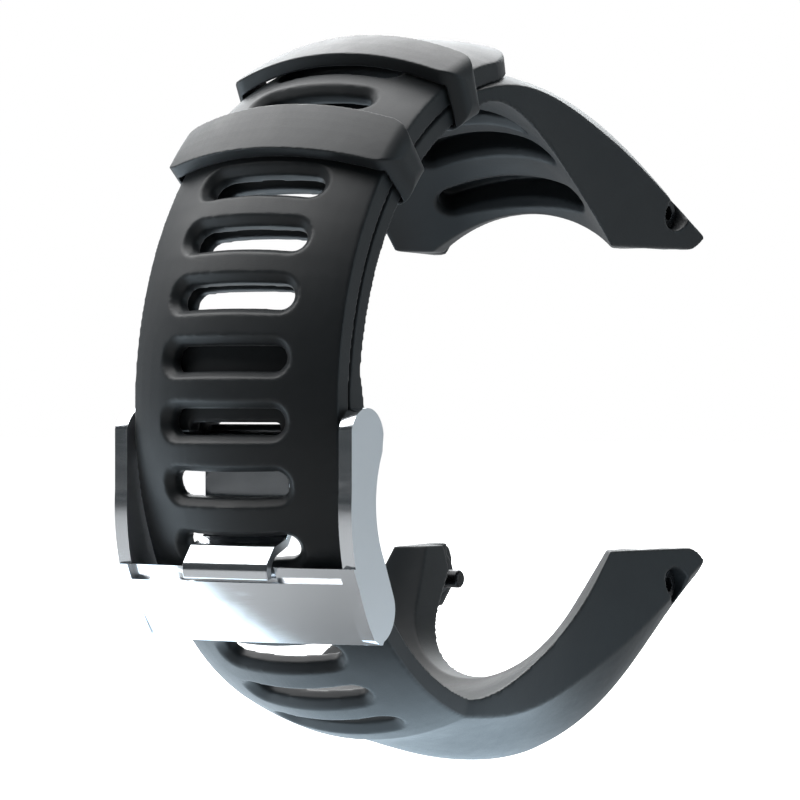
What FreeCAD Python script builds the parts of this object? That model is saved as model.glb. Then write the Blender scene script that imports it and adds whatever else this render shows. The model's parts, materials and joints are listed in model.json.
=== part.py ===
"""Two-piece moulded strap of a dive computer, closed with its pin buckle as it is worn.

Frame: X runs across the strap, Y from the buckle to the computer, +Z up. The shape is built
about the front of the strap and then moved, so that the origin is the centre of the whole box.
All sizes are in millimetres.
"""
import FreeCAD, Part
import math
import os

# Strap band
STRAP_HALF_WIDTH = 12.0
STRAP_CROWN = 2.8            # how far the middle of the band stands out past its edges
LONG_THICKNESS = 2.0
SHORT_THICKNESS = 1.7
LAYER_GAP = 0.3
FRONT_Y = 2.9                # edge of the long strap at its foremost point
FRONT_Z = -1.3
FRONT_RADIUS = 37.5          # long strap's edge, just above its foremost point
UPPER_RADIUS = 35.5          # the same, from the turn angle up
LOWER_RADIUS = 32.0          # the same, below the foremost point
TURN_ANGLE = 20.0            # where the front arc runs into the upper one
TAIL_ANGLE = 95.6            # where the tail ends, counted up from the front
TAIL_ROUND = 12.2
UPPER_BAND_END = 73.0        # where each band turns into its lug end
LOWER_BAND_END = 75.0
CLASP_END = -3.0             # where the short strap meets its spring bar

# Adjustment slots
SLOT_LENGTH = 15.6
SLOT_OPENING = 2.6
SLOT_MOUTH = 4.3
SLOT_BEVEL_DEPTH = 0.9
FRONT_SLOT_STEP = 9.1
UPPER_SLOT_STEP = 9.5
LOWER_SLOT_STEP = 11.0
FIRST_FRONT_SLOT = -1.4
FIRST_UPPER_SLOT = 26.1
FIRST_LOWER_SLOT = 12.2
LONG_FRONT_SLOTS = 3
LONG_UPPER_SLOTS = 6
LONG_LOWER_SLOTS = 6
SHORT_UPPER_SLOTS = 5

# Lug ends
HORN_END_Z = 16.2
HORN_TIP_Y = 68.4
HORN_TIP_ROUND = 1.8
RIM_SPAN = 17.5              # the rim of each lug end leans back by this much, at 45 degrees
SEAT_RADIUS = 10.0           # bed of the cut-out between the lower lips
SEAT_BED_Z = -19.8
SEAT_LEAN = 15.0             # sides of that cut-out, degrees from upright
UPPER_SEAT_RADIUS = 18.0     # arched cut-out between the upper lips
UPPER_SEAT_Z = 2.2
POCKET_HALF_WIDTH = 15.0     # between the walls beside the computer
EAR_X = 13.7                 # inner face of the round ear that carries each screw
EAR_RADIUS = 3.1
POCKET_Z = 20.0
STEP_Y = 60.5                # back of the computer, at the horn ends
LOWER_STEP = (19.0, 20.0)    # where the step starts to lean, and how far it then drops
UPPER_STEP = (22.5, 0.5)

# Slots in the short strap's lug end, cut from the wrist side: (Y, Z), angle of the wrist face's
# normal, and length
LUG_SLOT_ARCH = 16.5
LUG_SLOT_DEPTH = 3.7
LUG_SLOTS = [((57.1, 22.6), 314, 19.8), ((51.4, 27.3), 305, 18.4), ((45.9, 30.2), 293, 17.0)]

# Lug screws and their bushes
SCREW_Y = 63.6
SCREW_Z = 20.1
SCREW_TIP_X = 11.0
SHANK_RADIUS = 1.0
HEAD_RADIUS = 1.5
HEAD_IN_X = 14.55
HEAD_OUT_X = 15.3
RECESS_RADIUS = 1.9
HEX_SIZE = 1.5
HEX_DEPTH = 0.8
BUSH_RADIUS = 1.6
BUSH_IN_X = 13.5
BUSH_OUT_X = 14.5
BUSH_BORE = SHANK_RADIUS + 0.04

# Buckle and spring bar
BAR_Y = 6.7
BAR_Z = -4.1
TUBE_RADIUS = 0.75
TUBE_HALF = 11.0
PLUNGER_RADIUS = 0.45
PLUNGER_TIP_X = 13.5
PLUNGER_TAIL_X = 7.5
COLLAR_RADIUS = 0.66
SPRING_WIRE_RADIUS = 0.15
SPRING_PITCH = 1.6
BARREL_RADIUS = 1.75
ARM_IN_X = 12.5
ARM_OUT_X = 14.0
BAR_RISE = 3.4               # cross bar's face over the strap's edge
BAR_CROWN = 1.65
LEDGE_Z = -17.9
LEDGE_DEPTH = 0.6
TONGUE_HALF_WIDTH = 5.0
TONGUE_EYE_RADIUS = 1.6
TONGUE_PLAY = 0.3            # sideways room for the tongue in the strap and in the buckle

# Keepers
KEEPER_THICKNESS = 1.4
KEEPER_CORNER = 2.2
KEEPER_CLEARANCE = 0.3
KEEPER_ARC = {"lower_keeper": (39.4, 48.6), "upper_keeper": (62.8, 71.2)}

FRONT_CENTRE = (FRONT_Y + FRONT_RADIUS, FRONT_Z)
LOWER_CENTRE = (FRONT_Y + LOWER_RADIUS, FRONT_Z)
X_AXIS = FreeCAD.Vector(1, 0, 0)


def vec(x, y, z):
    return FreeCAD.Vector(x, y, z)


def polar(centre, radius, angle):
    """Y and Z of a point at an angle above the foremost direction, about a centre."""
    turn = math.radians(angle)
    return centre[0] - radius * math.cos(turn), centre[1] + radius * math.sin(turn)


UPPER_CENTRE = polar(FRONT_CENTRE, FRONT_RADIUS - UPPER_RADIUS, TURN_ANGLE)


def arch(left, middle, right):
    return Part.Arc(left, middle, right).toShape()


def arched_wire(half_out, side_out, middle_out, half_in, side_in, middle_in):
    """Closed band section: outer arch, straight side, inner arch, straight side.

    Each of the four places is a (Y, Z) pair: the sides are mirrored, the middles lie on X = 0.
    """
    outer_left, outer_right = vec(-half_out, *side_out), vec(half_out, *side_out)
    inner_left, inner_right = vec(-half_in, *side_in), vec(half_in, *side_in)
    edges = [
        arch(outer_left, vec(0, *middle_out), outer_right),
        Part.LineSegment(outer_right, inner_right).toShape(),
        arch(inner_right, vec(0, *middle_in), inner_left),
        Part.LineSegment(inner_left, outer_left).toShape(),
    ]
    return Part.Wire(edges)


def band_wire(centre, angle, outer, inner, half_width=STRAP_HALF_WIDTH, crown=STRAP_CROWN):
    return arched_wire(
        half_width, polar(centre, outer, angle), polar(centre, outer + crown, angle),
        half_width, polar(centre, inner, angle), polar(centre, inner + crown, angle),
    )


def band(centre, start, end, outer, inner, **shape):
    """Arched band from one angle to another about a centre."""
    section = Part.Face(band_wire(centre, start, outer, inner, **shape))
    return section.revolve(vec(0, *centre), -X_AXIS, end - start)


def prism(points, x_from, x_to):
    """Side outline in (Y, Z), pushed across the strap. A triple of points is an arc."""
    edges = []
    for start, end in zip(points, points[1:] + points[:1]):
        first = start[-1] if isinstance(start[0], tuple) else start
        last = end[0] if isinstance(end[0], tuple) else end
        if isinstance(start[0], tuple):
            edges.append(arch(*(vec(x_from, *p) for p in start)))
        if first != last:
            edges.append(Part.LineSegment(vec(x_from, *first), vec(x_from, *last)).toShape())
    return Part.Face(Part.Wire(edges)).extrude(vec(x_to - x_from, 0, 0))


def rod(radius, x_from, x_to, y, z):
    return Part.makeCylinder(radius, abs(x_to - x_from), vec(min(x_from, x_to), y, z), X_AXIS)


def join(shapes):
    return shapes[0].multiFuse(shapes[1:]).removeSplitter()


def arched_slot(foot, angle, arch_radius, length=SLOT_LENGTH, opening=SLOT_OPENING,
                mouth=SLOT_MOUTH, deep=9.0):
    """Cutter for one slot: a bevelled channel that follows the arch, with round ends.

    foot is the (Y, Z) of the surface on the middle line, and angle turns its outward normal
    up from -Y. The arch's centre lies behind the surface, or in front of it if arch_radius is
    negative.
    """
    turn = math.radians(angle)
    normal = vec(0, -math.cos(turn), math.sin(turn))
    along = vec(0, math.sin(turn), math.cos(turn))
    surface = vec(0, *foot)
    opening, mouth = opening / 2, mouth / 2
    outline = [(0, -deep), (opening, -deep), (opening, -SLOT_BEVEL_DEPTH), (mouth, 0), (mouth, 2), (0, 2)]

    def face(points):
        corners = [surface + along * a + normal * n for a, n in points]
        return Part.Face(Part.makePolygon(corners + corners[:1]))

    half = face(outline)
    whole = face(outline + [(-a, n) for a, n in reversed(outline) if a])
    pivot = surface - normal * arch_radius
    sweep = math.degrees((length / 2 - mouth) / abs(arch_radius))
    whole.rotate(pivot, along, -sweep)
    pieces = [whole.revolve(pivot, along, 2 * sweep)]
    for side in (-sweep, sweep):
        end = half.revolve(surface, normal, 360)
        end.rotate(pivot, along, side)
        pieces.append(end)
    return pieces


def band_slots(centre, radius, angles):
    arch_radius = (STRAP_HALF_WIDTH**2 + STRAP_CROWN**2) / (2 * STRAP_CROWN)
    cutters = []
    for angle in angles:
        cutters += arched_slot(polar(centre, radius + STRAP_CROWN, angle), angle, arch_radius)
    return cutters


def lug_end(first, stations):
    """Loft from the band's last section through upright sections.

    Each station is Y, then half width, side height and middle height of the outward face, then
    the same of the wrist face.
    """
    wires = [first]
    for y, half_out, side_out, middle_out, half_in, side_in, middle_in in stations:
        wires.append(arched_wire(
            half_out, (y, side_out), (y, middle_out), half_in, (y, side_in), (y, middle_in),
        ))
    return Part.makeLoft(wires, True, False)


def lug_outline(sign):
    """Side outline that trims a lug end: flat horn end, round tip and leaning rim."""
    end, tip, r = HORN_END_Z, HORN_TIP_Y, HORN_TIP_ROUND
    slant = r * math.sin(math.radians(45))
    rim_top = (tip - r + slant + 0.3, end + r + slant)
    outline = [
        (20, end),
        ((tip - r, end), (tip - 0.1, end + r), rim_top),
        (rim_top[0] - RIM_SPAN, rim_top[1] + RIM_SPAN),
        (rim_top[0] - RIM_SPAN, 48),
        (20, 48),
    ]
    turned = [tuple((y, sign * z) for y, z in p) if isinstance(p[0], tuple) else (p[0], sign * p[1])
              for p in outline]
    return prism(turned, -22, 22)


def step_side(sign, corner_z, drop):
    """Everything on the computer's side of the leaning step that its back rests on."""
    foot_z = corner_z + drop
    outline = [(STEP_Y, 10), (STEP_Y, corner_z), (STEP_Y - drop, foot_z), (90, foot_z), (90, 10)]
    return prism([(y, sign * z) for y, z in outline], -22, 22)


def round_channel(radius, bed_z, lean=0):
    """Channel along Y: a round bed with sides that lean outwards towards the loop's middle."""
    length, y_from = 50, 40
    bed = Part.makeCylinder(radius, length, vec(0, y_from, bed_z), vec(0, 1, 0))
    down = math.copysign(1, bed_z)
    slope = math.radians(lean)
    low_x, low_z = radius * math.cos(slope), bed_z + down * radius * math.sin(slope)
    top_x = low_x + abs(low_z) * math.tan(slope)
    corners = [(-top_x, 0), (top_x, 0), (low_x, low_z), (-low_x, low_z)]
    loop = [vec(x, y_from, z) for x, z in corners + corners[:1]]
    return [bed, Part.Face(Part.makePolygon(loop)).extrude(vec(0, length, 0))]


def pocket(sign, step):
    """Room for the computer's case behind the lips and the step."""
    limit = step_side(sign, *step)
    return [piece.common(limit) for piece in round_channel(POCKET_HALF_WIDTH, sign * POCKET_Z)]


def ear(side, sign):
    """Round ear inside the horn, joined to the lip in front of it."""
    y, z = SCREW_Y, sign * SCREW_Z
    root_x = POCKET_HALF_WIDTH + 0.5
    disc = rod(EAR_RADIUS, side * EAR_X, side * root_x, y, z)
    corner = vec(min(side * EAR_X, side * root_x), y - EAR_RADIUS - 1, min(sign * HORN_END_Z, z))
    block = Part.makeBox(root_x - EAR_X, EAR_RADIUS + 2.5, SCREW_Z - HORN_END_Z, corner)
    return [disc, block]


def hollow_lug_end(blank, channels, sign):
    """Cut the channels into a lug end, keep its ears and bore its screw holes."""
    ears = [piece.common(blank) for side in (-1, 1) for piece in ear(side, sign)]
    holes = screw_hole(-1, sign) + screw_hole(1, sign)
    return blank.cut(channels).multiFuse(ears).cut(holes)


def screw_hole(side, sign):
    """Stepped hole for one bush and its screw head."""
    y, z = SCREW_Y, sign * SCREW_Z
    return [
        rod(BUSH_RADIUS, side * 10, side * BUSH_OUT_X, y, z),
        rod(RECESS_RADIUS, side * BUSH_OUT_X, side * 22, y, z),
    ]


def tail_nose():
    """What is cut away past the last of the band to leave its round end."""
    whole = band(UPPER_CENTRE, TAIL_ANGLE - 25, TAIL_ANGLE + 1, UPPER_RADIUS + 3, UPPER_RADIUS - 6)
    centre_angle = TAIL_ANGLE - math.degrees(TAIL_ROUND / (UPPER_RADIUS + STRAP_CROWN))
    foot = vec(0, *polar(UPPER_CENTRE, UPPER_RADIUS - 10, centre_angle))
    turn = math.radians(centre_angle)
    disc = Part.makeCylinder(TAIL_ROUND, 20, foot, vec(0, -math.cos(turn), math.sin(turn)))
    kept = band(UPPER_CENTRE, 0, centre_angle, UPPER_RADIUS + 3, UPPER_RADIUS - 6)
    return whole.cut([disc, kept])


def slot_angles(first, step, count):
    return [first + step * k for k in range(count)]


def long_strap():
    thick = LONG_THICKNESS
    front = band(FRONT_CENTRE, 0, TURN_ANGLE, FRONT_RADIUS, FRONT_RADIUS - thick)
    tail = band(UPPER_CENTRE, TURN_ANGLE, TAIL_ANGLE, UPPER_RADIUS, UPPER_RADIUS - thick)
    lower = band(LOWER_CENTRE, -LOWER_BAND_END, 0, LOWER_RADIUS, LOWER_RADIUS - thick)
    first = band_wire(LOWER_CENTRE, -LOWER_BAND_END, LOWER_RADIUS, LOWER_RADIUS - thick)
    end = lug_end(first, [
        (33.5, 12.8, -32.5, -36.0, 12.9, -29.3, -32.3),
        (40.0, 13.4, -31.6, -37.6, 13.3, -26.5, -31.2),
        (46.8, 14.3, -29.2, -38.5, 13.5, -22.4, -29.8),
        (53.8, 15.4, -26.0, -37.9, 13.6, -16.2, -24.1),
        (61.0, 16.4, -22.0, -33.3, 13.6, -9.5, -17.4),
        (70.0, 17.6, -16.5, -26.5, 13.6, -2.0, -9.9),
    ])
    end = end.common(lug_outline(-1))
    seat = round_channel(SEAT_RADIUS, SEAT_BED_Z, SEAT_LEAN)
    end = hollow_lug_end(end, seat + pocket(-1, LOWER_STEP), -1)
    slots = band_slots(FRONT_CENTRE, FRONT_RADIUS,
                       slot_angles(FIRST_FRONT_SLOT, FRONT_SLOT_STEP, LONG_FRONT_SLOTS))
    slots += band_slots(UPPER_CENTRE, UPPER_RADIUS,
                        slot_angles(FIRST_UPPER_SLOT, UPPER_SLOT_STEP, LONG_UPPER_SLOTS))
    slots += band_slots(LOWER_CENTRE, LOWER_RADIUS,
                        slot_angles(-FIRST_LOWER_SLOT, -LOWER_SLOT_STEP, LONG_LOWER_SLOTS))
    return join([tail.cut(tail_nose()), front, lower, end]).cut(slots)


def long_strap_envelope(gap):
    """The long strap's front without its slots, thicker by a gap on its inner side."""
    wide = {"half_width": STRAP_HALF_WIDTH + 1, "crown": STRAP_CROWN * 1.17}
    inset = LONG_THICKNESS + gap + 0.45
    return [
        band(FRONT_CENTRE, 0, 20, FRONT_RADIUS + 2, FRONT_RADIUS - inset, **wide),
        band(LOWER_CENTRE, -25, 0, LOWER_RADIUS + 2, LOWER_RADIUS - inset, **wide),
    ]


def clasp_end():
    """Thicker end of the short strap that holds the spring bar."""
    barrel = rod(BARREL_RADIUS, -STRAP_HALF_WIDTH, STRAP_HALF_WIDTH, BAR_Y, BAR_Z)
    web = prism([(BAR_Y - 1.6, BAR_Z), (BAR_Y + BARREL_RADIUS, BAR_Z),
                 (BAR_Y + 0.6, 2.0), (BAR_Y - 1.6, 2.0)], -STRAP_HALF_WIDTH, STRAP_HALF_WIDTH)
    return join([barrel, web]).cut(long_strap_envelope(LAYER_GAP))


def short_strap():
    inset = LONG_THICKNESS + LAYER_GAP
    front, outer, thick = FRONT_RADIUS - inset, UPPER_RADIUS - inset, SHORT_THICKNESS
    clasp_band = band(FRONT_CENTRE, CLASP_END, TURN_ANGLE, front, front - thick)
    main = band(UPPER_CENTRE, TURN_ANGLE, UPPER_BAND_END, outer, outer - thick)
    end = lug_end(band_wire(UPPER_CENTRE, UPPER_BAND_END, outer, outer - thick), [
        (36.0, 13.0, 32.2, 35.1, 13.0, 29.3, 32.3),
        (43.0, 13.8, 31.0, 34.9, 13.4, 25.0, 31.0),
        (50.0, 14.8, 28.1, 34.4, 13.5, 19.6, 28.4),
        (56.0, 15.7, 25.0, 32.6, 13.6, 14.2, 23.8),
        (62.0, 16.5, 21.4, 29.3, 13.6, 8.5, 17.0),
        (70.0, 17.6, 16.5, 24.0, 13.6, 1.0, 9.0),
    ])
    end = end.common(lug_outline(1))
    seat = round_channel(UPPER_SEAT_RADIUS, UPPER_SEAT_Z)
    slots = []
    for foot, angle, length in LUG_SLOTS:
        slots += arched_slot(foot, angle, -LUG_SLOT_ARCH, length=length,
                              opening=3.0, mouth=4.6, deep=LUG_SLOT_DEPTH)
    end = hollow_lug_end(end, seat + pocket(1, UPPER_STEP) + slots, 1)
    half = TONGUE_HALF_WIDTH + TONGUE_PLAY
    notch_top = TONGUE_EYE_RADIUS + 0.2
    notch = Part.makeBox(2 * half, 14, notch_top + 3.4, vec(-half, 0, BAR_Z - 3.4))
    bore = rod(TUBE_RADIUS, -STRAP_HALF_WIDTH - 1, STRAP_HALF_WIDTH + 1, BAR_Y, BAR_Z)
    slots = band_slots(FRONT_CENTRE, front, slot_angles(FIRST_FRONT_SLOT, FRONT_SLOT_STEP, 3)[2:])
    slots += band_slots(UPPER_CENTRE, outer,
                        slot_angles(FIRST_UPPER_SLOT, UPPER_SLOT_STEP, SHORT_UPPER_SLOTS))
    return join([clasp_band, main, end, clasp_end()]).cut(slots + [notch, bore])


def buckle_frame():
    """Two side arms and the wide cross bar, with the ledge that the tongue rests on."""
    arm_outline = [
        ((2.4, -3.0), (5.1, -0.9), (8.1, -3.4)),
        ((7.9, -5.2), (6.75, -9.8), (8.2, -15.6)),
        ((9.8, -19.0), (9.9, -21.9), (7.4, -23.8)),
        ((6.5, -23.4), (3.3, -17.0), (2.4, -9.0)),
    ]
    arms = [prism(arm_outline, side * ARM_IN_X, side * ARM_OUT_X) for side in (-1, 1)]
    bar = crossbar()
    holes = rod(PLUNGER_RADIUS + 0.05, -PLUNGER_TIP_X - 0.1, PLUNGER_TIP_X + 0.1, BAR_Y, BAR_Z)
    return join(arms + [bar]).cut(holes)


def crossbar():
    """Cross bar: an arched polished face, and a ledge above it with a seat for the tongue."""
    blank = prism([(0, -16.4), (5.5, -16.4), (9.4, -21.5), (8.0, -23.9), (0, -23.9)],
                  -ARM_OUT_X, ARM_OUT_X)
    half = ARM_OUT_X + 0.5
    face = LOWER_RADIUS + BAR_RISE
    solid = band(LOWER_CENTRE, -50, -20, face, LOWER_RADIUS - 4, half_width=half, crown=BAR_CROWN)
    strap_room = band(LOWER_CENTRE, -55, -15, LOWER_RADIUS + 0.3, LOWER_RADIUS - 9, half_width=half,
                      crown=3.3)
    above = band(LOWER_CENTRE, -50, -20, face + 2, face - LEDGE_DEPTH, half_width=half,
                 crown=BAR_CROWN)
    ledge_room = above.common(Part.makeBox(2 * ARM_IN_X, 30, 5, vec(-ARM_IN_X, -10, LEDGE_Z)))
    half = TONGUE_HALF_WIDTH + TONGUE_PLAY
    seat = Part.makeBox(2 * half, 4, 3, vec(-half, -1.4, LEDGE_Z))
    return blank.common(solid).cut([strap_room, ledge_room, seat])


def tongue():
    """Rolled eye on the spring bar, and a plate through the strap's slot on to the ledge."""
    half = TONGUE_HALF_WIDTH
    eye = rod(TONGUE_EYE_RADIUS, -half, half, BAR_Y, BAR_Z)
    plate = prism([
        (BAR_Y - TONGUE_EYE_RADIUS, BAR_Z), (5.1, -12.8), (4.6, -13.6), (2.6, -14.3),
        ((1.35, -15.9), (1.15, -16.5), (1.4, -17.6)), (2.2, -17.45),
        ((2.0, -16.7), (2.2, -16.1), (2.95, -15.3)), (5.0, -14.4), (5.9, -13.0),
        (BAR_Y + 0.2, BAR_Z - 1.3),
    ], -half, half)
    bore = rod(TUBE_RADIUS + 0.05, -half, half, BAR_Y, BAR_Z)
    return join([eye, plate]).cut(bore)


def spring_bar_tube():
    tube = rod(TUBE_RADIUS, -TUBE_HALF, TUBE_HALF, BAR_Y, BAR_Z)
    bore = rod(COLLAR_RADIUS + 0.03, -TUBE_HALF + 0.6, TUBE_HALF - 0.6, BAR_Y, BAR_Z)
    mouths = rod(PLUNGER_RADIUS + 0.04, -TUBE_HALF, TUBE_HALF, BAR_Y, BAR_Z)
    return tube.cut([bore, mouths])


def bar_tip(side, tail_x):
    """Stepped pin: its collar stays inside the tube, its tip stands in the buckle's arm."""
    stem = rod(PLUNGER_RADIUS, side * tail_x, side * PLUNGER_TIP_X, BAR_Y, BAR_Z)
    collar = rod(COLLAR_RADIUS, side * (TUBE_HALF - 2.2), side * (TUBE_HALF - 0.7), BAR_Y, BAR_Z)
    return join([stem, collar])


def bar_spring():
    """Compression spring between the plunger's tail and the fixed tip's tail."""
    wire = SPRING_WIRE_RADIUS
    start, end = -PLUNGER_TAIL_X + wire + 0.02, PLUNGER_TAIL_X - wire - 0.02
    coil = COLLAR_RADIUS - wire - 0.02
    helix = Part.makeHelix(SPRING_PITCH, end - start, coil)
    circle = Part.Wire(Part.makeCircle(wire, vec(coil, 0, 0), vec(0, 1, 0)))
    spring = Part.Wire(helix.Edges).makePipeShell([circle], True, True)
    spring.rotate(vec(0, 0, 0), vec(0, 1, 0), 90)
    spring.translate(vec(start, BAR_Y, BAR_Z))
    return spring


def keeper(start, end):
    """Closed loop of rubber round both layers of the strap."""
    outer_layer = UPPER_RADIUS + KEEPER_CLEARANCE
    inner_layer = UPPER_RADIUS - LONG_THICKNESS - LAYER_GAP - SHORT_THICKNESS - KEEPER_CLEARANCE
    half = STRAP_HALF_WIDTH + KEEPER_CLEARANCE
    hole = band(UPPER_CENTRE, start, end, outer_layer, inner_layer, half_width=half)
    skin = band(UPPER_CENTRE, start, end, outer_layer + KEEPER_THICKNESS - 0.4,
                inner_layer - KEEPER_THICKNESS, half_width=half + KEEPER_THICKNESS,
                crown=STRAP_CROWN + 0.4)
    corners = [e for e in skin.Edges if abs(e.BoundBox.XLength) < 1e-3 and e.Length > 4]
    return skin.makeFillet(KEEPER_CORNER, corners).cut(hole)


def lug_screw(side, sign):
    y, z = SCREW_Y, sign * SCREW_Z
    shank = rod(SHANK_RADIUS, side * SCREW_TIP_X, side * HEAD_IN_X, y, z)
    shank = shank.makeChamfer(0.2, [e for e in shank.Edges
                                    if abs(abs(e.CenterOfMass.x) - SCREW_TIP_X) < 1e-3])
    head = rod(HEAD_RADIUS, side * HEAD_IN_X, side * HEAD_OUT_X, y, z)
    corner = HEX_SIZE / math.sqrt(3)
    hexagon = [vec(side * HEAD_OUT_X, y + corner * math.cos(math.pi / 3 * k),
                   z + corner * math.sin(math.pi / 3 * k)) for k in range(7)]
    socket = Part.Face(Part.makePolygon(hexagon)).extrude(vec(-side * HEX_DEPTH, 0, 0))
    return join([shank, head]).cut(socket)


def lug_bush(side, sign):
    y, z = SCREW_Y, sign * SCREW_Z
    sleeve = rod(BUSH_RADIUS, side * BUSH_IN_X, side * BUSH_OUT_X, y, z)
    return sleeve.cut(rod(BUSH_BORE, side * 10, side * 16, y, z))


def build():
    parts = {
        "long_strap": long_strap(),
        "short_strap": short_strap(),
        "buckle_frame": buckle_frame(),
        "buckle_tongue": tongue(),
        "spring_bar_tube": spring_bar_tube(),
        "spring_bar_spring": bar_spring(),
        "spring_bar_plunger": bar_tip(-1, PLUNGER_TAIL_X),
        "spring_bar_fixed_tip": bar_tip(1, PLUNGER_TAIL_X),
    }
    for name, (start, end) in KEEPER_ARC.items():
        parts[name] = keeper(start, end)
    for side, hand in ((-1, "left"), (1, "right")):
        for sign, place in ((-1, "lower"), (1, "upper")):
            parts[f"{place}_lug_screw_{hand}"] = lug_screw(side, sign)
            parts[f"{place}_lug_bush_{hand}"] = lug_bush(side, sign)
    return parts


def main():
    parts = build()
    whole = Part.makeCompound(list(parts.values()))
    centre = whole.optimalBoundingBox(False, False).Center
    os.makedirs("parts", exist_ok=True)
    for name, shape in parts.items():
        shape.translate(-centre)
        shape.exportStep(f"parts/{name}.step")
        print(name, shape.ShapeType, len(shape.Solids), shape.isValid(), round(shape.Volume, 2))
    print("moved by", [round(v, 3) for v in -centre])


main()
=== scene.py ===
"""Looks of a dive computer's strap: moulded rubber, a polished buckle and black lug screws.

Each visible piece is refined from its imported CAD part, which stays its exact frame.
"""
import json
import math

import bmesh
import bpy
from bpy.props import FloatProperty, FloatVectorProperty, IntProperty, PointerProperty
from mathutils import Matrix, Vector


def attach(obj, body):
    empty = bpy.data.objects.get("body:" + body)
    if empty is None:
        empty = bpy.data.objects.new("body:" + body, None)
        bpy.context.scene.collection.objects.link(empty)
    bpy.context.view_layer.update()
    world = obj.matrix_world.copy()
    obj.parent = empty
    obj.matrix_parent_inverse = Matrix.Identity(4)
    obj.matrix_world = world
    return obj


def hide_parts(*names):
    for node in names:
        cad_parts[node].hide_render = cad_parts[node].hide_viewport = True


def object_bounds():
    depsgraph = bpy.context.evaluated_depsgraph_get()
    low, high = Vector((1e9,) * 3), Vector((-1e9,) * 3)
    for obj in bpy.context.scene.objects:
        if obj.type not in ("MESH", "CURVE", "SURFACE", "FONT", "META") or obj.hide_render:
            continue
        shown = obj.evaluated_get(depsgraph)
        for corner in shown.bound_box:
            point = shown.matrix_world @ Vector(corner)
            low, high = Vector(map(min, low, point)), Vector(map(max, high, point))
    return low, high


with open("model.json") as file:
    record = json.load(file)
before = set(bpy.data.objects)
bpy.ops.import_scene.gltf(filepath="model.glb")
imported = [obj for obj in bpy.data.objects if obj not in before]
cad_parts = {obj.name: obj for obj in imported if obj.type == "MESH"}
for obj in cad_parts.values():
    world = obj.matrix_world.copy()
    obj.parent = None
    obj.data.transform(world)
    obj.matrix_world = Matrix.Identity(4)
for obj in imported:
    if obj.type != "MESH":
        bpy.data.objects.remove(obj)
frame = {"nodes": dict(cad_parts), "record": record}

bl_info = {
    "name": "Dive strap looks",
    "version": (1, 0, 0),
    "blender": (4, 5, 0),
    "location": "3D View > Sidebar > Strap",
    "description": "Finishes the packed parts of a moulded strap with its steel buckle",
    "category": "Object",
}

CAD_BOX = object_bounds()
LOWEST = min(corner[2] for corner in CAD_BOX)
RUBBER_STRAPS = ("long_strap", "short_strap")
KEEPERS = ("lower_keeper", "upper_keeper")
BUCKLE_PIECES = ("buckle_frame", "buckle_tongue")
SPRING_BAR = ("spring_bar_tube", "spring_bar_plunger", "spring_bar_fixed_tip", "spring_bar_spring")
LUG_CORNERS = [(place, hand) for place in ("lower", "upper") for hand in ("left", "right")]
KEEPER_FINENESS = 0.6         # keepers are thinner than the straps and need a finer skin
SCREW_EDGE = 0.00006
BLACK = (0, 0, 0, 1)
WHITE = (1, 1, 1, 1)

# Stage: a floor just under the strap, with a glowing card on its left whose edge runs aslant
FLOOR_HALF_SIZE = 3.0
FLOOR_GAP = 0.0006
CARD_TINT = (0.70, 0.87, 1.0)
CARD_SLANT = 1.5              # how far the card's edge moves in X for each metre in Y
CARD_EDGE_Y = -0.03           # where that edge crosses the middle
CARD_FADE = (0.004, -0.008)   # across the slanted edge, from no light to full light
CARD_LEFT_FADE = (-0.34, -0.26)
CARD_BACK_FADE = (0.035, 0.010)
WORLD_TINT = (0.85, 0.94, 1.0, 1)

# name, place, width and height, power in watts, colour
SOFTBOXES = (
    ("top softbox", (-0.16, 0.04, 0.38), (0.8, 0.55), 6.2, (1, 1, 1)),
    ("back softbox", (-0.32, 0.50, 0.26), (0.6, 0.25), 2.0, (0.94, 0.98, 1.0)),
    ("left softbox", (-0.42, -0.05, 0.04), (0.12, 0.5), 0.2, (1, 1, 1)),
    ("right rim", (0.42, 0.14, 0.03), (0.05, 0.5), 0.5, (0.72, 0.90, 1.0)),
    ("back card", (0.32, 0.50, 0.06), (0.5, 0.4), 0.26, (0.90, 0.96, 1.0)),
)


# Settings

class StrapRubber(bpy.types.PropertyGroup):
    colour: FloatVectorProperty(
        name="Rubber", description="Colour of the straps", subtype="COLOR", size=3,
        min=0, max=1, default=(0.012, 0.0145, 0.0165))
    roughness: FloatProperty(
        name="Roughness", description="Roughness of the moulded face", min=0, max=1, default=0.46)
    grain: FloatProperty(
        name="Grain", description="Size of the moulded grain", unit="LENGTH", min=0.00002,
        default=0.00016)
    voxel: FloatProperty(
        name="Voxel", description="Fineness of the moulded mesh", unit="LENGTH", min=0.0001,
        default=0.0002)
    relax_rounds: IntProperty(
        name="Rounds", description="Smoothing rounds that soften the edges", min=0, default=3)
    most_faces: IntProperty(
        name="Most faces", description="Triangles kept in each strap", min=1000, default=180000)


class BuckleSteel(bpy.types.PropertyGroup):
    colour: FloatVectorProperty(
        name="Steel", description="Colour of the buckle", subtype="COLOR", size=3,
        min=0, max=1, default=(0.74, 0.77, 0.80))
    polished: FloatProperty(
        name="Polished", description="Roughness of the cross bar", min=0, max=1, default=0.16)
    satin: FloatProperty(
        name="Satin", description="Roughness of the side plates", min=0, max=1, default=0.42)
    edge: FloatProperty(
        name="Edge", description="Width of the broken edges", unit="LENGTH", min=0,
        default=0.00022)


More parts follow.
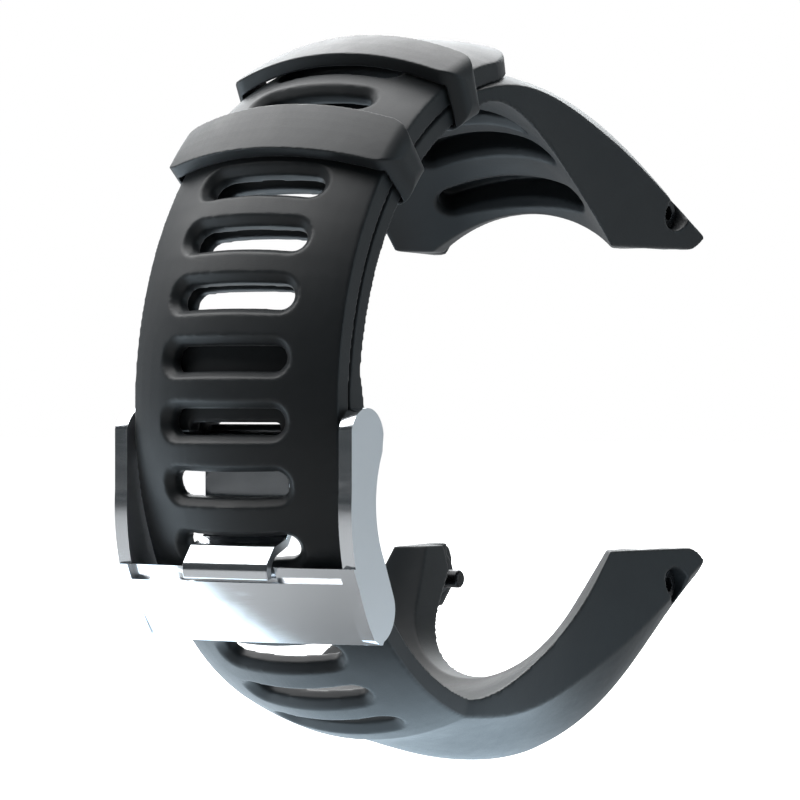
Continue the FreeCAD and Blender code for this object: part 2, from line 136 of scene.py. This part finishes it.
class SmallParts(bpy.types.PropertyGroup):
    screw_colour: FloatVectorProperty(
        name="Screws", description="Colour of the coated screws", subtype="COLOR", size=3,
        min=0, max=1, default=(0.012, 0.013, 0.015))
    bush_colour: FloatVectorProperty(
        name="Bushes", description="Colour of the bushes", subtype="COLOR", size=3,
        min=0, max=1, default=(0.045, 0.047, 0.05))
    bar_colour: FloatVectorProperty(
        name="Spring bar", description="Colour of the spring bar", subtype="COLOR", size=3,
        min=0, max=1, default=(0.55, 0.56, 0.58))


class StudioStage(bpy.types.PropertyGroup):
    floor_colour: FloatVectorProperty(
        name="Floor", description="Colour of the floor", subtype="COLOR", size=3,
        min=0, max=1, default=(0.93, 0.93, 0.93))
    world_strength: FloatProperty(
        name="World", description="Strength of the soft light all round", min=0, default=0.06)
    floor_glow: FloatProperty(
        name="Floor glow", description="Light that the lit floor gives back", min=0, default=1.0)
    card_glow: FloatProperty(
        name="Card glow", description="Light of the pale card under the left side", min=0,
        default=2.4)
    camera_place: FloatVectorProperty(
        name="Camera", description="Where the camera stands", subtype="XYZ", unit="LENGTH", size=3,
        default=(0.22757, -0.36304, 0.00033))
    camera_turn: FloatProperty(
        name="Turn", description="Camera's turn from square on", subtype="ANGLE", unit="ROTATION",
        default=0.561)
    lens: FloatProperty(
        name="Lens", description="Focal length in millimetres", min=1, default=185.2)


SETTINGS = {
    "strap_rubber": StrapRubber,
    "buckle_steel": BuckleSteel,
    "strap_small_parts": SmallParts,
    "strap_stage": StudioStage,
}


# Shader maths

class Value:
    """A shader socket that takes part in ordinary arithmetic."""

    def __init__(self, shade, socket):
        self.shade = shade
        self.socket = socket

    def maths(self, operation, *others):
        values = dict(enumerate((self, *others)))
        return self.shade.add("ShaderNodeMath", {"operation": operation}, values)

    def __add__(self, other):
        return self.maths("ADD", other)

    def __sub__(self, other):
        return self.maths("SUBTRACT", other)

    def __rsub__(self, other):
        return self.shade.add("ShaderNodeMath", {"operation": "SUBTRACT"}, {0: other, 1: self})

    def __mul__(self, other):
        return self.maths("MULTIPLY", other)

    def __abs__(self):
        return self.maths("ABSOLUTE")

    __radd__ = __add__
    __rmul__ = __mul__

    def between(self, low, high):
        """0 at low, 1 at high, smooth in between."""
        return self.shade.add(
            "ShaderNodeMapRange", {"interpolation_type": "SMOOTHSTEP"},
            {"Value": self, "From Min": low, "From Max": high})


class Nodes:
    """A tree of shader nodes, with one way to add any of them."""

    def __init__(self, tree):
        self.tree = tree

    def add(self, kind, settings=None, values=None, out=0):
        node = self.tree.nodes.new(kind)
        for name, setting in (settings or {}).items():
            setattr(node, name, setting)
        for key, value in (values or {}).items():
            self.feed(node.inputs[key], value)
        return Value(self, node.outputs[out])

    def feed(self, socket, value):
        if isinstance(value, Value):
            self.tree.links.new(value.socket, socket)
        else:
            socket.default_value = value


class Shade(Nodes):
    """One material's nodes."""

    def __init__(self, name):
        self.material = bpy.data.materials.new(name)
        self.material.use_nodes = True
        super().__init__(self.material.node_tree)
        self.surface = self.tree.nodes["Principled BSDF"]

    def finish(self, **sockets):
        """Feed the surface shader: names with spaces are written with underscores."""
        for name, value in sockets.items():
            self.feed(self.surface.inputs[name.replace("_", " ")], value)
        return self.material

    def place(self):
        return self.add("ShaderNodeTexCoord", out="Object")

    def noise(self, size, detail, stretch=None):
        """Noise whose features are about that size, in metres."""
        place = self.place()
        if stretch:
            place = self.add(
                "ShaderNodeVectorMath", {"operation": "MULTIPLY"}, {0: place, 1: stretch})
        return self.add("ShaderNodeTexNoise", None,
                        {"Vector": place, "Scale": 1 / size, "Detail": detail})

    def mix(self, factor, first, second):
        """The first colour where the factor is 0, the second where it is 1."""
        values = {0: factor, 6: first, 7: second}
        return self.add("ShaderNodeMix", {"data_type": "RGBA"}, values, out=2)

    def bump(self, height, depth, strength, normal=None):
        values = {"Height": height, "Distance": depth, "Strength": strength}
        if normal:
            values["Normal"] = normal
        return self.add("ShaderNodeBump", None, values)

    def edges(self):
        """1 on raised edges, 0 on flat faces."""
        return self.add("ShaderNodeNewGeometry", out="Pointiness").between(0.52, 0.60)


def rgba(colour, scale=1.0):
    """A surface colour, scaled but never over 1."""
    return (*(min(1.0, c * scale) for c in colour), 1.0)


def bright(colour, strength):
    """The colour of a light, which may be over 1."""
    return (*(c * strength for c in colour), 1.0)


# Materials

def rubber_material(settings):
    shade = Shade("moulded rubber")
    grain = shade.noise(settings.grain, detail=3)
    mottle = shade.noise(0.006, detail=4)
    smudge = shade.noise(0.0022, detail=3)
    colour = shade.mix(mottle, rgba(settings.colour, 0.8), rgba(settings.colour, 1.25))
    roughness = settings.roughness + (smudge - 0.5) * 0.12 + (grain - 0.5) * 0.16
    normal = shade.bump(grain, 0.000012, 0.55, shade.bump(mottle, 0.00004, 0.25))
    return shade.finish(
        Base_Color=colour, Roughness=roughness, Normal=normal,
        Specular_IOR_Level=0.35, Sheen_Weight=0.10, Sheen_Roughness=0.4)


def polished_steel_material(settings):
    shade = Shade("buckle steel")
    normal = shade.add("ShaderNodeNewGeometry", out="Normal")
    across = shade.add("ShaderNodeSeparateXYZ", None, {0: normal}, out="X")
    plate = abs(across).between(0.90, 0.985)
    brushed = shade.noise(0.0004, detail=4, stretch=(0.15, 6.0, 0.3))
    scuffs = shade.noise(0.0018, detail=5, stretch=(0.4, 1.0, 2.0))
    film = shade.noise(0.009, detail=2)
    colour = shade.mix(film * 0.5, rgba(settings.colour), rgba(settings.colour, 0.86))
    spread = settings.polished + plate * (settings.satin - settings.polished)
    roughness = spread + (brushed - 0.5) * 0.10 + scuffs.between(0.55, 0.8) * 0.08
    bumped = shade.bump(brushed, 0.000004, 0.35)
    return shade.finish(Base_Color=colour, Metallic=1.0, Roughness=roughness, Normal=bumped)


def drawn_steel_material(settings):
    shade = Shade("drawn steel")
    lines = shade.noise(0.00025, detail=3, stretch=(0.1, 1.0, 1.0))
    colour = shade.mix(lines, rgba(settings.bar_colour, 0.85), rgba(settings.bar_colour, 1.1))
    roughness = 0.25 + lines * 0.15
    normal = shade.bump(lines, 0.000005, 0.4)
    return shade.finish(Base_Color=colour, Metallic=1.0, Roughness=roughness, Normal=normal)


def coated_screw_material(settings):
    shade = Shade("black coated steel")
    pits = shade.noise(0.0003, detail=3)
    # raised edges are painted lighter: a painted highlight along the screw's edges
    painted_edge_highlight = shade.edges()
    colour = shade.mix(painted_edge_highlight * 0.5, rgba(settings.screw_colour), rgba(settings.screw_colour, 7.0))
    roughness = 0.20 + pits * 0.14
    normal = shade.bump(pits, 0.000006, 0.4)
    return shade.finish(Base_Color=colour, Metallic=0.6, Roughness=roughness, Normal=normal)


def bush_material(settings):
    shade = Shade("bush polymer")
    grain = shade.noise(0.0002, detail=3)
    colour = shade.mix(grain, rgba(settings.bush_colour, 0.85), rgba(settings.bush_colour, 1.2))
    normal = shade.bump(grain, 0.000008, 0.5)
    return shade.finish(Base_Color=colour, Roughness=0.45 + grain * 0.15, Normal=normal)


def floor_material(settings):
    """White where it is seen; towards the strap it gives back only the card's light."""
    shade = Shade("pale floor")
    speckle = shade.noise(0.004, detail=3)
    colour = shade.mix(
        speckle, rgba(settings.floor_colour, 0.98), rgba(settings.floor_colour, 1.02))
    place = shade.place()
    across = shade.add("ShaderNodeSeparateXYZ", None, {0: place}, out="X")
    along = shade.add("ShaderNodeSeparateXYZ", None, {0: place}, out="Y")
    slanted_edge = (across - CARD_SLANT * (along - CARD_EDGE_Y)).between(*CARD_FADE)
    card = slanted_edge * across.between(*CARD_LEFT_FADE) * along.between(*CARD_BACK_FADE)
    seen = shade.add("ShaderNodeLightPath", out="Is Camera Ray")
    card_light = shade.mix(card, BLACK, bright(CARD_TINT, settings.card_glow))
    glow = shade.mix(seen, card_light, bright((1, 1, 1), settings.floor_glow))
    return shade.finish(
        Base_Color=shade.mix(seen, rgba(settings.floor_colour, 0.35), colour),
        Roughness=0.9, Emission_Color=glow, Emission_Strength=1.0)


# Meshes

def body_of_node(node):
    bodies = frame["record"]["behaviour"]["bodies"]
    return next(body for body, nodes in bodies.items() if node in nodes)


def copy_of(node, name):
    """A new object with a CAD node's mesh, its faces joined up and free of old normals."""
    shape = bmesh.new()
    shape.from_mesh(frame["nodes"][node].data)
    bmesh.ops.remove_doubles(shape, verts=shape.verts, dist=1e-7)
    clean = bpy.data.meshes.new(name)
    shape.to_mesh(clean)
    shape.free()
    piece = bpy.data.objects.new(name, clean)
    bpy.context.scene.collection.objects.link(piece)
    return piece


def apply_modifiers(piece):
    """Make the modified mesh the piece's own, and take its modifiers off."""
    depsgraph = bpy.context.evaluated_depsgraph_get()
    finished = bpy.data.meshes.new_from_object(piece.evaluated_get(depsgraph))
    piece.modifiers.clear()
    piece.data = finished


def mould(piece, voxel, rounds, most_faces):
    """Remesh finely and relax, which gives every edge the small radius of moulded rubber."""
    remesh = piece.modifiers.new("skin", "REMESH")
    remesh.mode = "VOXEL"
    remesh.voxel_size = voxel
    relax = piece.modifiers.new("relax", "SMOOTH")
    relax.factor = 0.5
    relax.iterations = rounds
    apply_modifiers(piece)
    triangles = 2 * len(piece.data.polygons)
    if triangles > most_faces:
        thin = piece.modifiers.new("thin out", "DECIMATE")
        thin.ratio = most_faces / triangles
        apply_modifiers(piece)
    piece.data.shade_smooth()


def machine(piece, edge):
    """Break the sharp edges of a metal piece by a narrow rounded bevel."""
    flatten = piece.modifiers.new("flatten", "DECIMATE")
    flatten.decimate_type = "DISSOLVE"
    flatten.angle_limit = math.radians(1.0)
    bevel = piece.modifiers.new("edge", "BEVEL")
    bevel.width = edge
    bevel.segments = 3
    bevel.limit_method = "ANGLE"
    bevel.angle_limit = math.radians(28)
    even = piece.modifiers.new("even", "WEIGHTED_NORMAL")
    even.weight = 90
    piece.data.shade_smooth()
    apply_modifiers(piece)


def stand_for(piece, node, material):
    """The finished piece takes the CAD node's place and body, and gets a material."""
    piece.data.materials.clear()
    piece.data.materials.append(material)
    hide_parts(node)
    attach(piece, body_of_node(node))


def repaint(node, material):
    """A CAD node that keeps its shape gets a better material."""
    target = frame["nodes"][node]
    if not target.material_slots:
        target.data.materials.append(material)
    for slot in target.material_slots:
        slot.material = material


# Operators

class STRAP_OT_straps(bpy.types.Operator):
    """Mould the long and the short strap"""

    bl_idname = "strap.straps"
    bl_label = "Straps"

    def execute(self, context):
        settings = context.scene.strap_rubber
        material = rubber_material(settings)
        for node in RUBBER_STRAPS:
            piece = copy_of(node, f"{node}.moulded")
            mould(piece, settings.voxel, settings.relax_rounds, settings.most_faces)
            stand_for(piece, node, material)
        return {"FINISHED"}


class STRAP_OT_keepers(bpy.types.Operator):
    """Mould the two rubber loops that hold the tail"""

    bl_idname = "strap.keepers"
    bl_label = "Keepers"

    def execute(self, context):
        settings = context.scene.strap_rubber
        material = rubber_material(settings)
        material.name = "keeper rubber"
        for node in KEEPERS:
            piece = copy_of(node, f"{node}.moulded")
            voxel = settings.voxel * KEEPER_FINENESS
            mould(piece, voxel, settings.relax_rounds, settings.most_faces // 3)
            stand_for(piece, node, material)
        return {"FINISHED"}


class STRAP_OT_buckle(bpy.types.Operator):
    """Break the edges of the buckle's frame and tongue and polish them"""

    bl_idname = "strap.buckle"
    bl_label = "Buckle"

    def execute(self, context):
        settings = context.scene.buckle_steel
        material = polished_steel_material(settings)
        for node in BUCKLE_PIECES:
            piece = copy_of(node, f"{node}.machined")
            machine(piece, settings.edge)
            stand_for(piece, node, material)
        return {"FINISHED"}


class STRAP_OT_spring_bar(bpy.types.Operator):
    """Finish the spring bar's tube, tips and spring"""

    bl_idname = "strap.spring_bar"
    bl_label = "Spring bar"

    def execute(self, context):
        material = drawn_steel_material(context.scene.strap_small_parts)
        for node in SPRING_BAR:
            repaint(node, material)
        return {"FINISHED"}


class STRAP_OT_lug_screws(bpy.types.Operator):
    """Finish the lug screws and their bushes"""

    bl_idname = "strap.lug_screws"
    bl_label = "Lug screws"

    def execute(self, context):
        settings = context.scene.strap_small_parts
        coated = coated_screw_material(settings)
        polymer = bush_material(settings)
        for place, hand in LUG_CORNERS:
            node = f"{place}_lug_screw_{hand}"
            piece = copy_of(node, f"{node}.machined")
            machine(piece, SCREW_EDGE)
            stand_for(piece, node, coated)
            repaint(f"{place}_lug_bush_{hand}", polymer)
        return {"FINISHED"}


def area_light(name, place, size, power, colour):
    """A softbox that faces the strap and isn't seen itself."""
    data = bpy.data.lights.new(name, "AREA")
    data.shape = "RECTANGLE"
    data.size, data.size_y = size
    data.energy = power
    data.color = colour
    lamp = bpy.data.objects.new(name, data)
    lamp.location = place
    lamp.rotation_euler = (-Vector(place)).to_track_quat("-Z", "Y").to_euler()
    lamp.visible_camera = False
    bpy.context.scene.collection.objects.link(lamp)


class STRAP_OT_stage(bpy.types.Operator):
    """Set up the floor, the soft lights and the camera"""

    bl_idname = "strap.stage"
    bl_label = "Stage"

    def execute(self, context):
        settings = context.scene.strap_stage
        self.backdrop(context, settings)
        self.lights(context, settings)
        self.camera(context, settings)
        return {"FINISHED"}

    def backdrop(self, context, settings):
        floor = bpy.data.objects.new("floor", self.floor_mesh())
        context.scene.collection.objects.link(floor)
        floor.data.materials.append(floor_material(settings))

    def floor_mesh(self):
        size, height = FLOOR_HALF_SIZE, LOWEST - FLOOR_GAP
        mesh = bpy.data.meshes.new("floor")
        outline = [(-size, -size), (size, -size), (size, size), (-size, size)]
        corners = [(x, y, height) for x, y in outline]
        mesh.from_pydata(corners, [], [(0, 1, 2, 3)])
        return mesh

    def lights(self, context, settings):
        context.scene.world = self.world(settings)
        context.scene.view_settings.view_transform = "Standard"
        for softbox in SOFTBOXES:
            area_light(*softbox)

    def world(self, settings):
        """White where it is seen, dim where it lights, like a studio behind its lamps."""
        world = bpy.data.worlds.new("studio")
        world.use_nodes = True
        nodes = Nodes(world.node_tree)
        plain_sky = world.node_tree.nodes["Background"]
        nodes.feed(plain_sky.inputs["Color"], WHITE)
        white = Value(nodes, plain_sky.outputs["Background"])
        dim = nodes.add(
            "ShaderNodeBackground", None,
            {"Color": WORLD_TINT, "Strength": settings.world_strength})
        seen = nodes.add("ShaderNodeLightPath", out="Is Camera Ray")
        surface = nodes.add("ShaderNodeMixShader", None, {0: seen, 1: dim, 2: white})
        nodes.feed(world.node_tree.nodes["World Output"].inputs["Surface"], surface)
        return world

    def camera(self, context, settings):
        turn = settings.camera_turn
        right = Vector((math.cos(turn), math.sin(turn), 0))
        back = Vector((math.sin(turn), -math.cos(turn), 0))
        data = bpy.data.cameras.new("camera")
        data.sensor_width = 36
        data.lens = settings.lens
        data.clip_start = 0.01
        data.clip_end = 20
        camera = bpy.data.objects.new("camera", data)
        axes = Matrix((right, Vector((0, 0, 1)), back)).transposed().to_4x4()
        camera.matrix_world = Matrix.Translation(settings.camera_place) @ axes
        context.scene.collection.objects.link(camera)
        context.scene.camera = camera


OPERATORS = (
    STRAP_OT_stage, STRAP_OT_straps, STRAP_OT_keepers, STRAP_OT_buckle, STRAP_OT_spring_bar,
    STRAP_OT_lug_screws,
)


class STRAP_PT_pieces(bpy.types.Panel):
    """Lists the strap's pieces"""

    bl_idname = "STRAP_PT_pieces"
    bl_label = "Strap pieces"
    bl_space_type = "VIEW_3D"
    bl_region_type = "UI"
    bl_category = "Strap"

    def draw(self, context):
        for operator in OPERATORS:
            self.layout.operator(operator.bl_idname)
        for name, group in SETTINGS.items():
            box = self.layout.box()
            for field in group.__annotations__:
                box.prop(getattr(context.scene, name), field)


def register():
    for name, group in SETTINGS.items():
        bpy.utils.register_class(group)
        setattr(bpy.types.Scene, name, PointerProperty(type=group))
    for cls in (*OPERATORS, STRAP_PT_pieces):
        bpy.utils.register_class(cls)


def unregister():
    for cls in reversed((*OPERATORS, STRAP_PT_pieces)):
        bpy.utils.unregister_class(cls)
    for name, group in SETTINGS.items():
        delattr(bpy.types.Scene, name)
        bpy.utils.unregister_class(group)


def main():
    register()
    bpy.ops.strap.stage()
    bpy.ops.strap.straps()
    bpy.ops.strap.keepers()
    bpy.ops.strap.buckle()
    bpy.ops.strap.spring_bar()
    bpy.ops.strap.lug_screws()


if __name__ == "__main__":
    main()
